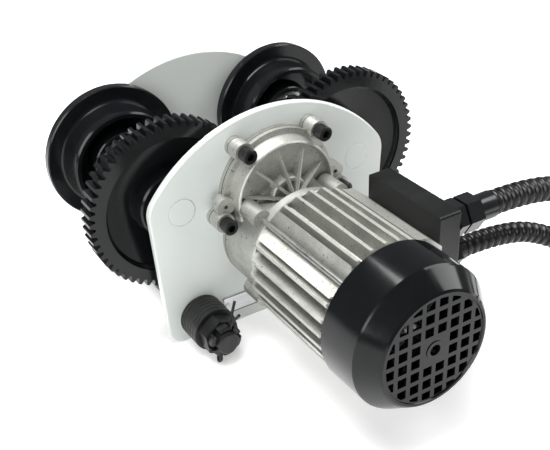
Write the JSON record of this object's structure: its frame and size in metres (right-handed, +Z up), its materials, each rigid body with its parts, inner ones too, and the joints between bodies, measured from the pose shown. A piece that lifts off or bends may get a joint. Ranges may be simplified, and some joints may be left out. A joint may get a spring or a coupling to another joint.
{
  "type": "electric wire rope hoist trolley",
  "caption": "Electric beam trolley of a wire rope hoist: side plates with geared and flanged wheels, a flange-mounted gear motor, and shafts that carry the hoist.",
  "frame": {"origin": "on the beam's middle plane, at the height of the rail surface that the wheels run on, half way between the two axle lines", "axes": "+X along the beam, +Y across it away from the motor, +Z up; the trolley stands on the bottom edges of its side plates"},
  "size_m": [0.4589, 0.6477, 0.2023],
  "materials": {
    "plate_white": "satin powder coat",
    "wheel_black": "glossy black paint",
    "cast_aluminium": "die cast, satin",
    "gasket": "matt fibre",
    "data_plate": "brushed",
    "bright_steel": "zinc plated",
    "bearing_steel": "ground",
    "dark_steel": "black oxide",
    "black_screws": "black oxide",
    "lamination": "stacked sheet",
    "rotor_alloy": "turned",
    "copper": "enamelled copper wire",
    "seal_rubber": "matt",
    "fan_plastic": "moulded",
    "black_gloss": "glossy",
    "black_matte": "fine grain",
    "gland_black": "semi gloss",
    "conduit_black": "corrugated"
  },
  "bodies": {
    "trolley_frame": {"axle_retaining_rings": "bearing_steel", "axle_spacer_sleeves": "bright_steel", "castle_nuts": "dark_steel", "data_plate": "data_plate", "data_plate_rivets": "data_plate", "drive_axle_left": "bright_steel", "drive_axle_right": "bright_steel", "drive_side_plate": "plate_white", "fan_cover": "black_gloss", "gearbox_base_plate": "cast_aluminium", "gearbox_gasket": "gasket", "gearbox_housing": "cast_aluminium", "gearbox_screws": "black_screws", "gearbox_spring_washers": "black_screws", "idler_axle_left": "bright_steel", "idler_axle_right": "bright_steel", "idler_side_plate": "plate_white", "load_shaft_left": "dark_steel", "load_shaft_right": "dark_steel", "lower_conduit": "conduit_black", "lower_conduit_connector": "gland_black", "lower_gland_body": "gland_black", "lower_gland_nut": "gland_black", "motor_bearing_balls": "bearing_steel", "motor_bearing_outer_rings": "bearing_steel", "motor_rear_shield": "cast_aluminium", "motor_shaft_seal": "seal_rubber", "motor_tie_rods": "bright_steel", "output_bearing_balls": "bearing_steel", "output_bearing_outer_rings": "bearing_steel", "spacer_washers": "dark_steel", "split_pins": "dark_steel", "stator_core": "lamination", "stator_housing": "cast_aluminium", "stator_windings": "copper", "terminal_block": "black_matte", "terminal_box_base": "black_matte", "terminal_box_cover": "black_matte", "terminal_box_screws": "bright_steel", "upper_conduit": "conduit_black", "upper_conduit_connector": "gland_black", "upper_gland_body": "gland_black", "upper_gland_nut": "gland_black", "wheel_bearing_balls": "bearing_steel", "wheel_bearing_inner_rings": "bearing_steel"},
    "drive_wheel_left": {"drive_wheel_left": "wheel_black", "drive_wheel_left_outer_rings": "bearing_steel"},
    "drive_wheel_right": {"drive_wheel_right": "wheel_black", "drive_wheel_right_outer_rings": "bearing_steel"},
    "idler_wheel_left": {"idler_wheel_left": "wheel_black", "idler_wheel_left_outer_rings": "bearing_steel"},
    "idler_wheel_right": {"idler_wheel_right": "wheel_black", "idler_wheel_right_outer_rings": "bearing_steel"},
    "output_shaft": {"output_pinion_shaft": "bright_steel", "output_gear": "bright_steel", "output_bearing_inner_rings": "bearing_steel"},
    "motor_rotor": {"rotor_shaft": "bright_steel", "rotor_core": "rotor_alloy", "cooling_fan": "fan_plastic", "motor_bearing_inner_rings": "bearing_steel"}
  },
  "joints": [
    {"name": "drive_wheel_left_spin", "type": "hinge", "parent": "trolley_frame", "child": "drive_wheel_left", "pos_m": [-0.0875, -0.045, 0.049], "axis": [0, 1, 0], "continuous": true},
    {"name": "drive_wheel_right_spin", "type": "hinge", "parent": "trolley_frame", "child": "drive_wheel_right", "pos_m": [0.0875, -0.045, 0.049], "axis": [0, 1, 0], "continuous": true},
    {"name": "idler_wheel_left_spin", "type": "hinge", "parent": "trolley_frame", "child": "idler_wheel_left", "pos_m": [-0.0875, 0.045, 0.049], "axis": [0, 1, 0], "continuous": true},
    {"name": "idler_wheel_right_spin", "type": "hinge", "parent": "trolley_frame", "child": "idler_wheel_right", "pos_m": [0.0875, 0.045, 0.049], "axis": [0, 1, 0], "continuous": true},
    {"name": "output_shaft_spin", "type": "hinge", "parent": "trolley_frame", "child": "output_shaft", "pos_m": [0, -0.09, 0.049], "axis": [0, 1, 0], "continuous": true},
    {"name": "motor_rotor_spin", "type": "hinge", "parent": "trolley_frame", "child": "motor_rotor", "pos_m": [0, -0.18, 0.009], "axis": [0, 1, 0], "continuous": true}
  ],
  "couplings": [
    {"joint": "drive_wheel_right_spin", "follows": "drive_wheel_left_spin", "ratio": 1},
    {"joint": "output_shaft_spin", "follows": "drive_wheel_left_spin", "ratio": -4.8333},
    {"joint": "motor_rotor_spin", "follows": "drive_wheel_left_spin", "ratio": 20.944}
  ]
}
